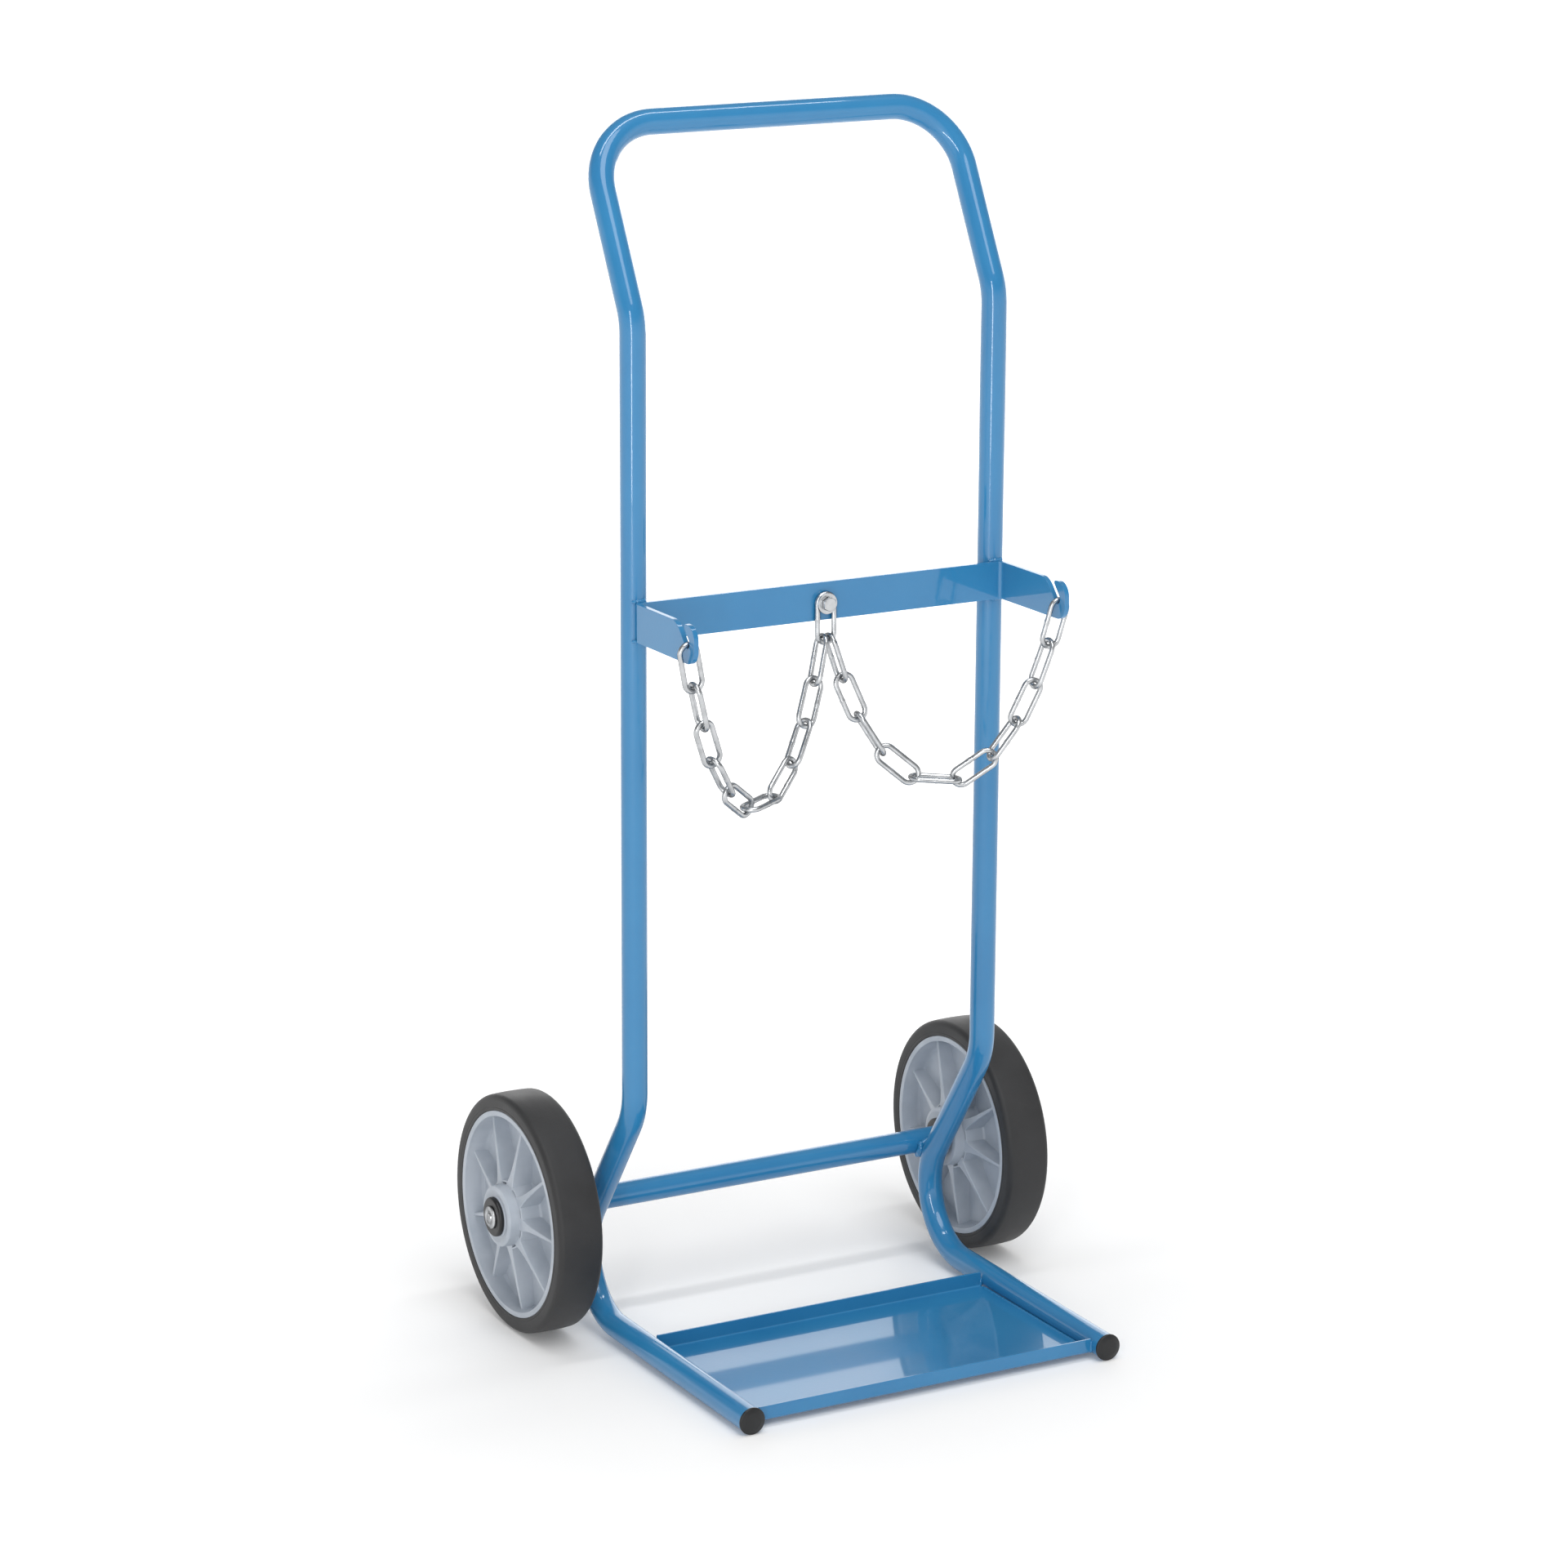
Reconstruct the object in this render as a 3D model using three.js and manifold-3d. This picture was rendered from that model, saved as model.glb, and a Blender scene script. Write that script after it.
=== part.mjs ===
// Hand cart for an oxygen and an acetylene bottle. Units are millimetres and +Z is up.
// The bottles stand on the tray at the -Y side, the wheels are at the +Y side and turn about X.
// Distances along Y are taken from the axle; the finished cart is then moved so that the origin
// lies on the floor under the middle of its length.
import * as THREE from 'three';
import { mergeVertices } from 'three/addons/utils/BufferGeometryUtils.js';
import Module from 'manifold-3d';

const wasm = await Module();
wasm.setup();

// ---- Driving dimensions -------------------------------------------------------------------
const GAP = 0.3;                    // space kept between pieces that touch
const WHEEL_R = 125;
const ORIGIN_SHIFT = 125;           // from the axle to the middle of the cart's length

// Frame: one tube bent from foot to foot over the handle
const TUBE_R = 13;
const TUBE_BORE = 11;
const TUBE_SIDES = 14;
const FRAME_CORNERS = [             // centre line of the right half, with each bend's radius
  { x: 205.7, y: -370.7, z: 14.0 },
  { x: 206.6, y: 45.4, z: 17.3, radius: 69 },
  { x: 204.1, y: -122.7, z: 257.4, radius: 72 },
  { x: 204.1, y: -129.0, z: 1062.3, radius: 56 },
  { x: 204.1, y: -36.7, z: 1240.1, radius: 69 },
];
const BEND_STEP = Math.PI / 15;     // turn of the tube between two rings of a bend

// Cross tube that carries the axle, welded behind the legs
const AXLE_Z = WHEEL_R;
const CROSS_R = 12.7;
const CROSS_BORE = 10.7;
const CROSS_HALF = 221.5;

// Plug in the front end of each foot
const PLUG_R = 10.4;
const PLUG_DEPTH = 18;
const PLUG_FLANGE_R = 14;
const PLUG_RISE = 4;

// Wheels
const WHEEL_X = 264.8;              // middle of the wheel
const TYRE_HALF = 24.8;
const TYRE_BORE = 108;
const TYRE_SHOULDER = 6.6;
const TYRE_CROWN = 1;
const RIM_HALF = 24.5;
const RIM_IN_R = 102;
const WEB_HALF = 2.5;
const HUB_R = 34;
const HUB_HALF = 37.5;
const HUB_BORE = 14.3;
const RIB_COUNT = 9;
const RIB_TURN = { left: 12, right: 16 };   // first rib, in degrees from the top to the front
const RIB_AT_HUB = 11;              // thickness of a rib
const RIB_AT_RIM = 3;
const REACH_AT_HUB = 25;            // reach of a rib to each side of the web's middle
const REACH_AT_RIM = 16.5;
const WHEEL_STEPS = 40;
const BUSH_R = 14;
const BUSH_DEPTH = 22;
const BUSH_FLANGE_R = 20.5;
const BUSH_FLANGE = 4.7;
const AXLE_R = 10;
const AXLE_HALF = 309;
const CAP_R = 11.8;
const CAP_END = 311;

// Tray between the feet
const TRAY_HALF = 192.2;
const TRAY_FRONT = -362;
const TRAY_REAR = -144;
const TRAY_TOP = 9;
const TRAY_SHEET = 2.5;
const TRAY_FRONT_LIP = 22;
const TRAY_REAR_LIP = 24;
const TRAY_BEND = 4;                // outer radius of the lips' folds

// Flat bar bent into a U, with a hook cut into each arm
const BAR_T = 5;
const BAR_BOTTOM = 748;
const BAR_TOP = 786.5;
const BAR_BACK = -140.1;
const BAR_HALF = 211.3;             // to the outside of an arm
const BAR_BEND = 9;                 // outer radius of the U's corners
const ARM_TIP = -267;
const SLOT_HALF = 5;
const SLOT_END = { y: -252.5, z: 768.2 };
const SLOT_LEAN = 0.715;            // slope of the slot from upright, towards the bar, in radians
const BOLT_Z = 766;
const BOLT_R = 4;
const BOLT_HEAD_AF = 13;
const BOLT_HEAD_H = 5.3;
const SLEEVE_R = 6.1;
const WASHER_R = 10.8;
const WASHER_T = 1.6;
const NUT_H = 6.5;

// Chain
const WIRE = 5.3;
const JOINT_GAP = 1.3;              // play between two links
const LINK_W = 24.1;
const PITCH = 43;                   // from one bearing point to the next
const RUN_LINKS = 10;               // links on each side of the middle one
const EYE_X = 4.1;                  // where the first link of a run hangs on the middle link
const WIRE_SIDES = 6;
const LINK_STATIONS = 14;

// ---- Materials ----------------------------------------------------------------------------
const finish = (color, roughness, metalness) => () =>
  new THREE.MeshStandardMaterial({ color, roughness, metalness });
const bluePaint = finish(0x4a8dbe, 0.3, 0);
const zinc = finish(0xc9ccce, 0.32, 1);
const greyPlastic = finish(0xb4b6b8, 0.5, 0);
const rubber = finish(0x4b4b4c, 0.7, 0);
const blackPlastic = finish(0x1f2022, 0.5, 0);

// ---- Helpers ------------------------------------------------------------------------------
const cart = new THREE.Group();

function add(name, geometry, material) {
  const mesh = new THREE.Mesh(geometry, material());
  mesh.name = name;
  cart.add(mesh);
  return mesh;
}

function toSolid(geometry) {
  const plain = geometry.index ? geometry.toNonIndexed() : geometry.clone();
  plain.deleteAttribute('normal');
  plain.deleteAttribute('uv');
  const merged = mergeVertices(plain, 1e-4);
  return new wasm.Manifold(new wasm.Mesh({
    numProp: 3,
    vertProperties: merged.attributes.position.array,
    triVerts: merged.index.array,
  }));
}

function toGeometry(solid) {
  const mesh = solid.getMesh();
  const geometry = new THREE.BufferGeometry();
  geometry.setAttribute('position', new THREE.BufferAttribute(mesh.vertProperties, 3));
  geometry.setIndex(new THREE.BufferAttribute(mesh.triVerts, 1));
  return geometry;
}

// A curve through a list of points, with one ring of a swept tube at each of them.
class StationCurve extends THREE.Curve {
  constructor(points, closed = false) {
    super();
    this.points = points;
    this.closed = closed;
    this.steps = closed ? points.length : points.length - 1;
  }

  at(index) {
    const count = this.points.length;
    return this.points[this.closed ? (index + count) % count
      : Math.min(Math.max(index, 0), count - 1)];
  }

  getPointAt(u) {
    return this.at(Math.round(u * this.steps)).clone();
  }

  getPoint(u) {
    return this.getPointAt(u);
  }

  getTangentAt(u) {
    const index = Math.round(u * this.steps);
    const here = this.at(index);
    const into = here.clone().sub(this.at(index - 1)).normalize();
    const out = this.at(index + 1).clone().sub(here).normalize();
    return into.add(out).normalize();
  }
}

// Centre line of a bent tube: straight runs, and an arc of the given radius at each corner.
function bentPath(corners) {
  const at = corners.map((c) => new THREE.Vector3(c.x, c.y, c.z));
  const path = [at[0]];
  for (let i = 1; i < at.length - 1; i += 1) {
    const back = at[i - 1].clone().sub(at[i]).normalize();
    const ahead = at[i + 1].clone().sub(at[i]).normalize();
    const half = back.angleTo(ahead) / 2;
    const middle = back.clone().add(ahead).normalize();
    const { radius } = corners[i];
    const centre = at[i].clone().addScaledVector(middle, radius / Math.sin(half));
    const start = at[i].clone().addScaledVector(back, radius / Math.tan(half)).sub(centre);
    const axis = ahead.clone().cross(back).normalize();
    const turn = Math.PI - 2 * half;
    const steps = Math.ceil(turn / BEND_STEP);
    for (let k = 0; k <= steps; k += 1) {
      path.push(start.clone().applyAxisAngle(axis, (turn * k) / steps).add(centre));
    }
  }
  path.push(at[at.length - 1]);
  return path;
}

function tubeAlong(path, outer, inner, sides) {
  const polygon = (radius) => Array.from({ length: sides }, (_, k) => {
    const a = ((k + 0.5) * 2 * Math.PI) / sides;
    return new THREE.Vector2(radius * Math.cos(a), radius * Math.sin(a));
  });
  const shape = new THREE.Shape(polygon(outer));
  shape.holes.push(new THREE.Path(polygon(inner)));
  const extrudePath = new StationCurve(path);
  return new THREE.ExtrudeGeometry(shape, { steps: extrudePath.steps, extrudePath });
}

// A body turned about X. The outline is [x, r] pairs, with x rising along the outside.
function turned(outline, steps) {
  const points = outline.map(([x, r]) => new THREE.Vector2(r, x));
  if (outline[0][1] > 0) points.push(points[0].clone());
  return new THREE.LatheGeometry(points, steps).rotateZ(-Math.PI / 2);
}

// A closed outline of [u, v, radius] corners, each rounded by its radius where one is given.
function roundedShape(corners, step = Math.PI / 9) {
  const at = corners.map(([u, v]) => new THREE.Vector2(u, v));
  const points = [];
  corners.forEach(([, , radius = 0], i) => {
    const here = at[i];
    if (radius === 0) {
      points.push(here);
      return;
    }
    const back = at[(i + at.length - 1) % at.length].clone().sub(here).normalize();
    const ahead = at[(i + 1) % at.length].clone().sub(here).normalize();
    const half = Math.acos(back.dot(ahead)) / 2;
    const middle = back.clone().add(ahead).normalize();
    const centre = here.clone().addScaledVector(middle, radius / Math.sin(half));
    const start = here.clone().addScaledVector(back, radius / Math.tan(half));
    const turn = (Math.PI - 2 * half) * Math.sign(ahead.cross(back));
    const steps = Math.ceil(Math.abs(turn) / step);
    for (let k = 0; k <= steps; k += 1) {
      points.push(start.clone().rotateAround(centre, (turn * k) / steps));
    }
  });
  return new THREE.Shape(points);
}

const extrude = (shape, depth) => new THREE.ExtrudeGeometry(shape, { depth, bevelEnabled: false });

// Turns a shape drawn in Y and Z, and extruded along its own depth, to lie along X.
const ALONG_X = new THREE.Matrix4().makeBasis(
  new THREE.Vector3(0, 1, 0), new THREE.Vector3(0, 0, 1), new THREE.Vector3(1, 0, 0));

// ---- Frame --------------------------------------------------------------------------------
const mirrored = FRAME_CORNERS.map((c) => ({ ...c, x: -c.x }));
const framePath = bentPath([...mirrored, ...FRAME_CORNERS.slice().reverse()]);
add('frame_tube', tubeAlong(framePath, TUBE_R, TUBE_BORE, TUBE_SIDES), bluePaint);

const crossEnds = [-CROSS_HALF, CROSS_HALF].map((x) => new THREE.Vector3(x, 0, AXLE_Z));
add('cross_tube', tubeAlong(crossEnds, CROSS_R, CROSS_BORE, TUBE_SIDES), bluePaint);

const plugOutline = [
  [-PLUG_DEPTH, 0],
  [-PLUG_DEPTH, PLUG_R],
  [0, PLUG_R],
  [0, PLUG_FLANGE_R],
  [PLUG_RISE / 2, PLUG_FLANGE_R],
  [PLUG_RISE * 0.85, PLUG_FLANGE_R * 0.75],
  [PLUG_RISE, 0],
];
for (const [side, sign] of [['left', -1], ['right', 1]]) {
  const foot = FRAME_CORNERS[0];
  const plug = add(`${side}_foot_plug`, turned(plugOutline, 20), blackPlastic);
  plug.rotation.z = -Math.PI / 2;
  plug.position.set(sign * foot.x, foot.y - GAP, foot.z);
}

// ---- Tray ---------------------------------------------------------------------------------
const trayUnder = TRAY_TOP - TRAY_SHEET;
const fold = TRAY_BEND - TRAY_SHEET;
const traySection = roundedShape([
  [TRAY_FRONT, trayUnder, TRAY_BEND],
  [TRAY_REAR, trayUnder, TRAY_BEND],
  [TRAY_REAR, TRAY_REAR_LIP],
  [TRAY_REAR - TRAY_SHEET, TRAY_REAR_LIP],
  [TRAY_REAR - TRAY_SHEET, TRAY_TOP, fold],
  [TRAY_FRONT + TRAY_SHEET, TRAY_TOP, fold],
  [TRAY_FRONT + TRAY_SHEET, TRAY_FRONT_LIP],
  [TRAY_FRONT, TRAY_FRONT_LIP],
]);
add('tray', extrude(traySection, 2 * TRAY_HALF).applyMatrix4(ALONG_X)
  .translate(-TRAY_HALF, 0, 0), bluePaint);

// ---- Chain bracket ------------------------------------------------------------------------
const BAR_FRONT = BAR_BACK - BAR_T;

// Side view of the arms: a rounded tip, and a round-ended slot that opens upwards and back.
function armProfile() {
  const up = new THREE.Vector2(Math.sin(SLOT_LEAN), Math.cos(SLOT_LEAN));
  const across = new THREE.Vector2(-up.y, up.x).multiplyScalar(SLOT_HALF);
  const end = new THREE.Vector2(SLOT_END.y, SLOT_END.z).addScaledVector(up, -SLOT_HALF);
  const front = end.clone().add(across);
  const rear = end.clone().sub(across);
  const mouth = (p) => p.x + ((BAR_TOP - p.y) * up.x) / up.y;
  return roundedShape([
    [BAR_BACK + 1, BAR_BOTTOM],
    [BAR_BACK + 1, BAR_TOP],
    [mouth(rear), BAR_TOP, 14.5],
    [rear.x, rear.y, SLOT_HALF - 0.01],
    [front.x, front.y, SLOT_HALF - 0.01],
    [mouth(front), BAR_TOP, 2.5],
    [ARM_TIP, BAR_TOP, 14.5],
    [ARM_TIP, BAR_BOTTOM, 15],
  ]);
}

// Plan view of the U.
const inner = BAR_HALF - BAR_T;
const barPlan = roundedShape([
  [BAR_HALF, ARM_TIP],
  [BAR_HALF, BAR_BACK, BAR_BEND],
  [-BAR_HALF, BAR_BACK, BAR_BEND],
  [-BAR_HALF, ARM_TIP],
  [-inner, ARM_TIP],
  [-inner, BAR_FRONT, BAR_BEND - BAR_T],
  [inner, BAR_FRONT, BAR_BEND - BAR_T],
  [inner, ARM_TIP],
]);
const barSolid = toSolid(extrude(barPlan, BAR_TOP - BAR_BOTTOM).translate(0, 0, BAR_BOTTOM));
const armSolid = toSolid(extrude(armProfile(), 2 * BAR_HALF + 2).applyMatrix4(ALONG_X)
  .translate(-BAR_HALF - 1, 0, 0));
const boltHole = toSolid(new THREE.CylinderGeometry(BOLT_R + 0.5, BOLT_R + 0.5, 4 * BAR_T, 16)
  .translate(0, BAR_BACK, BOLT_Z));
add('chain_bracket', toGeometry(barSolid.intersect(armSolid).subtract(boltHole)), bluePaint);

// The bolt and what is on it, each piece placed by where its front is.
const sleeveLength = WIRE + 0.4;
const sleeveFront = BAR_FRONT - GAP - sleeveLength;
const washerFront = sleeveFront - 0.2 - WASHER_T;
const headFront = washerFront - 0.2 - BOLT_HEAD_H;
const nutFront = BAR_BACK + 0.2;
const shankEnd = nutFront + NUT_H + 1.5;
const onBolt = (name, outline, front, sides) => {
  const mesh = add(name, turned(outline, sides), zinc);
  mesh.rotation.z = Math.PI / 2;
  mesh.position.set(0, front, BOLT_Z);
};
const ringOutline = (length, bore, outer) => [[0, bore], [0, outer], [length, outer],
  [length, bore]];
onBolt('chain_sleeve', ringOutline(sleeveLength, BOLT_R + 0.3, SLEEVE_R), sleeveFront, 16);
onBolt('chain_washer', ringOutline(WASHER_T, BOLT_R + 0.3, WASHER_R), washerFront, 24);

function hexagon(height) {
  const corner = BOLT_HEAD_AF / Math.sqrt(3);
  return new THREE.CylinderGeometry(corner, corner, height, 6);
}
const head = toSolid(hexagon(BOLT_HEAD_H).translate(0, headFront + BOLT_HEAD_H / 2, 0));
const shankLength = shankEnd - headFront - 1;
const shank = toSolid(new THREE.CylinderGeometry(BOLT_R, BOLT_R, shankLength, 16)
  .translate(0, shankEnd - shankLength / 2, 0));
add('chain_bolt', toGeometry(head.add(shank)), zinc).position.z = BOLT_Z;
const nutBore = toSolid(new THREE.CylinderGeometry(BOLT_R + 0.3, BOLT_R + 0.3, 2 * NUT_H, 16));
add('chain_nut', toGeometry(toSolid(hexagon(NUT_H)).subtract(nutBore)), zinc)
  .position.set(0, nutFront + NUT_H / 2, BOLT_Z);

// ---- Chain --------------------------------------------------------------------------------
const BEND = (LINK_W - WIRE) / 2;
const CENTRE_LENGTH = PITCH + WIRE + JOINT_GAP;
const END_REACH = (CENTRE_LENGTH - PITCH) / 2;

// A link: one ring of wire lying in XZ, longer along Z, with half-round ends.
function linkGeometry() {
  const straight = CENTRE_LENGTH / 2 - BEND;
  const perEnd = LINK_STATIONS / 2;
  const points = Array.from({ length: LINK_STATIONS }, (_, k) => {
    const end = k < perEnd ? 1 : -1;
    const a = (Math.PI * (k % perEnd)) / (perEnd - 1);
    return new THREE.Vector3(end * BEND * Math.cos(a), 0, end * (straight + BEND * Math.sin(a)));
  });
  return new THREE.TubeGeometry(new StationCurve(points, true), LINK_STATIONS, WIRE / 2,
    WIRE_SIDES, true);
}

// Bearing points of a hanging run, as distance along and height. From link to link the slope
// grows by a fixed step, as the weight carried does; the start and the step are found by halving.
function hangingRun(lengths, span, rise) {
  const trace = (start, step) => {
    const points = [[0, 0]];
    lengths.forEach((length, k) => {
      const a = Math.atan(start + k * step);
      const [s, z] = points[k];
      points.push([s + length * Math.cos(a), z + length * Math.sin(a)]);
    });
    return points;
  };
  const solve = (tooHigh, low, high) => {
    let [a, b] = [low, high];
    for (let k = 0; k < 50; k += 1) {
      const middle = (a + b) / 2;
      if (tooHigh(middle)) b = middle;
      else a = middle;
    }
    return a;
  };
  const startFor = (step) => solve((start) => trace(start, step)[RUN_LINKS][1] > rise, -40, 40);
  const step = solve((s) => trace(startFor(s), s)[RUN_LINKS][0] < span, 0.01, 6);
  return trace(startFor(step), step);
}

const linkY = sleeveFront + sleeveLength / 2;
const middleTop = BOLT_Z + SLEEVE_R + GAP + WIRE / 2;
const middleLink = add('middle_link', linkGeometry(), zinc);
middleLink.position.set(0, linkY, middleTop - CENTRE_LENGTH / 2);

// The first link of a run hangs on the middle link's lower end, a little to one side.
const eyeRise = BEND - Math.sqrt(BEND ** 2 - EYE_X ** 2);
const eye = new THREE.Vector3(EYE_X, linkY,
  middleTop - CENTRE_LENGTH + eyeRise + WIRE + JOINT_GAP - END_REACH);
// The last link leans inwards, so it lies towards the outer face of the arm.
const hook = new THREE.Vector3(BAR_HALF, SLOT_END.y,
  SLOT_END.z - SLOT_HALF + WIRE / 2 + JOINT_GAP);
const flat = hook.clone().sub(eye).setZ(0);
const along = flat.clone().normalize();
const normal = new THREE.Vector3(-along.y, along.x, 0);
const runTurn = Math.atan2(-along.y, along.x);
const lengths = Array.from({ length: RUN_LINKS }, (_, k) =>
  (k === RUN_LINKS - 1 ? PITCH + END_REACH : PITCH));
const joints = hangingRun(lengths, flat.length(), hook.z - eye.z).map(([s, z]) =>
  eye.clone().addScaledVector(along, s).add(new THREE.Vector3(0, 0, z)));

for (const [side, sign] of [['left', -1], ['right', 1]]) {
  for (let k = 0; k < RUN_LINKS; k += 1) {
    const length = joints[k + 1].clone().sub(joints[k]).normalize();
    const level = normal.clone().cross(length);
    // The run leaves the middle link square to it and comes square to the hook, so it twists
    // evenly on the way; alternate links stand at right angles to one another.
    const twist = runTurn * Math.cos((Math.PI * (k + 1)) / RUN_LINKS) + (k % 2 ? 0 : Math.PI / 2);
    const wide = level.multiplyScalar(Math.cos(twist))
      .addScaledVector(normal, -Math.sin(twist));
    const centre = joints[k].clone().addScaledVector(length, CENTRE_LENGTH / 2 - END_REACH);
    for (const vector of [length, wide, centre]) vector.x *= sign;
    const link = add(`${side}_link_${String(k + 1).padStart(2, '0')}`, linkGeometry(), zinc);
    link.quaternion.setFromRotationMatrix(new THREE.Matrix4().makeBasis(
      wide, length.clone().cross(wide), length));
    link.position.copy(centre);
  }
}

// ---- Wheels and axle ----------------------------------------------------------------------
function rimGeometry(firstRib) {
  const half = [
    [RIM_HALF, TYRE_BORE - GAP],
    [RIM_HALF, RIM_IN_R],
    [WEB_HALF, RIM_IN_R - 1.5],
    [WEB_HALF, HUB_R + 1],
    [HUB_HALF, HUB_R - 1.5],
    [HUB_HALF, HUB_BORE],
  ];
  const other = half.map(([x, r]) => [-x, r]).reverse();
  const body = toSolid(turned([...half, ...other], WHEEL_STEPS));
  const wedge = (atHub, atRim) => roundedShape([
    [-atHub, HUB_R - 4],
    [atHub, HUB_R - 4],
    [atRim, RIM_IN_R + 2],
    [-atRim, RIM_IN_R + 2],
  ]);
  const plan = extrude(wedge(RIB_AT_HUB / 2, RIB_AT_RIM / 2), 2 * REACH_AT_HUB)
    .translate(0, 0, -REACH_AT_HUB).applyMatrix4(ALONG_X);
  const profile = extrude(wedge(REACH_AT_HUB, REACH_AT_RIM), RIB_AT_HUB)
    .translate(0, 0, -RIB_AT_HUB / 2).rotateX(Math.PI / 2);
  const rib = toSolid(plan).intersect(toSolid(profile));
  const ribs = Array.from({ length: RIB_COUNT }, (_, k) => (
    rib.rotate([firstRib + (k * 360) / RIB_COUNT, 0, 0])
  ));
  return toGeometry(ribs.reduce((sum, one) => sum.add(one), body));
}

function tyreGeometry() {
  const edge = WHEEL_R - TYRE_CROWN;
  const flank = TYRE_HALF - TYRE_SHOULDER;
  const shoulder = [0, 1, 2, 3].map((k) => {
    const a = (k * Math.PI) / 6;
    return [-flank - TYRE_SHOULDER * Math.cos(a), edge - TYRE_SHOULDER * (1 - Math.sin(a))];
  });
  const other = shoulder.map(([x, r]) => [-x, r]).reverse();
  return turned([[-TYRE_HALF, TYRE_BORE], ...shoulder, [0, WHEEL_R], ...other,
    [TYRE_HALF, TYRE_BORE]], WHEEL_STEPS);
}

// Flange outward, so x rises towards the outside of the wheel.
const bushOutline = [
  [-BUSH_DEPTH, AXLE_R + GAP],
  [-BUSH_DEPTH, BUSH_R],
  [0, BUSH_R],
  [0, BUSH_FLANGE_R],
  [BUSH_FLANGE - 1, BUSH_FLANGE_R],
  [BUSH_FLANGE, BUSH_FLANGE_R - 1],
  [BUSH_FLANGE, AXLE_R + GAP],
];
const capOutline = [
  [AXLE_HALF + GAP, 0],
  [AXLE_HALF + GAP, AXLE_R + GAP],
  [WHEEL_X + HUB_HALF + 2 * GAP + BUSH_FLANGE, AXLE_R + GAP],
  [WHEEL_X + HUB_HALF + 2 * GAP + BUSH_FLANGE, CAP_R],
  [CAP_END - 1.2, CAP_R],
  [CAP_END - 0.3, CAP_R - 2.5],
  [CAP_END, 0],
];
for (const [side, sign] of [['left', -1], ['right', 1]]) {
  const facing = sign > 0 ? 0 : Math.PI;
  const onWheel = (piece, geometry, material) => {
    add(`${side}_${piece}`, geometry, material).position.set(sign * WHEEL_X, 0, AXLE_Z);
  };
  onWheel('rim', rimGeometry(RIB_TURN[side]), greyPlastic);
  onWheel('tyre', tyreGeometry(), rubber);
  for (const [piece, end] of [['outer_bush', sign], ['inner_bush', -sign]]) {
    const bush = add(`${side}_${piece}`, turned(bushOutline, 20), blackPlastic);
    bush.rotation.z = end > 0 ? 0 : Math.PI;
    bush.position.set(sign * WHEEL_X + end * (HUB_HALF + GAP), 0, AXLE_Z);
  }
  const cap = add(`${side}_axle_cap`, turned(capOutline, 20), zinc);
  cap.rotation.z = facing;
  cap.position.z = AXLE_Z;
}
const axleOutline = [[-AXLE_HALF, 0], [-AXLE_HALF, AXLE_R], [AXLE_HALF, AXLE_R], [AXLE_HALF, 0]];
add('axle_rod', turned(axleOutline, 20), zinc).position.z = AXLE_Z;

for (const mesh of cart.children) mesh.position.y += ORIGIN_SHIFT;

export default cart;
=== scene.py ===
import math

import bmesh
import bpy
import numpy as np
from mathutils import Matrix, Vector


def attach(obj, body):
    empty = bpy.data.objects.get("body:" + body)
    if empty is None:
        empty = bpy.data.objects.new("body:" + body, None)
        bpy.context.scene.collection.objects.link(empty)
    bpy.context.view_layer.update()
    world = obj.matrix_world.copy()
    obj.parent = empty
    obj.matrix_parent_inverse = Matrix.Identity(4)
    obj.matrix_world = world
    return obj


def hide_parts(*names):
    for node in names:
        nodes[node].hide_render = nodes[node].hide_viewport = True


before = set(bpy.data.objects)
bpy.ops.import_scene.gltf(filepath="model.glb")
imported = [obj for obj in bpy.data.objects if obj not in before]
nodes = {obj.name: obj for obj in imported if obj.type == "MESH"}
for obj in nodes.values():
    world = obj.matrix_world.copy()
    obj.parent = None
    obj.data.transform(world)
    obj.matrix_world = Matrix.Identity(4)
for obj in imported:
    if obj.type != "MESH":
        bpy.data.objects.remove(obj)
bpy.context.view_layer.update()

MM = 0.001
BODY = "cart_body"
SIDES = (("left", -1), ("right", 1))

# ---- Sizes, in millimetres in the row frame -----------------------------------------------
AXLE_Y = 125.0
AXLE_Z = 125.0
TUBE_R = 13.0
TUBE_BORE = 11.0
UPRIGHT_X = 204.1
# Centre line of the right half of the frame, from the foot to the handle, with bend radii.
FRAME_CORNERS = (
    (205.7, -245.7, 14.0, 0),
    (206.6, 170.4, 17.3, 69),
    (UPRIGHT_X, 2.3, 257.4, 72),
    (UPRIGHT_X, -4.0, 1062.3, 56),
    (UPRIGHT_X, 88.3, 1240.1, 69),
)
CROSS_R = 12.7
CROSS_BORE = 10.7
CROSS_HALF = 221.5
BAR_T = 5.0
BAR_BOTTOM = 748.0
BAR_TOP = 786.5
BAR_BACK = -15.1
BAR_HALF = 211.3
BAR_BEND = 9.0
ARM_TIP = -142.0
SLOT_HALF = 5.0
SLOT_END = (-127.5, 768.2)
SLOT_LEAN = 0.715
MOUTH_REAR_ROUND = 22.0
MOUTH_FORE_ROUND = 2.5
TIP_TOP_ROUND = 14.5
TIP_BOTTOM_ROUND = 15.0
BAR_EDGE = 0.6
BOLT_Z = 766.0
BOLT_HOLE_R = 4.5
TRAY_HALF = 192.2
TRAY_FRONT = -237.0
TRAY_REAR = -19.0
TRAY_TOP = 9.0
TRAY_SHEET = 2.5
TRAY_FRONT_LIP = 22.0
TRAY_REAR_LIP = 24.0
TRAY_FOLD_OUTER = 4.0
TRAY_FOLD_INNER = 1.5
LIP_CORNER = 2.0
SHEET_EDGE = 0.45
CUT_CLEAR = 1.0
WHEEL_X = 264.8
WIRE = 5.3
LINK_HALF_WIDTH = 9.4
LINK_HALF_LENGTH = 24.8


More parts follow.
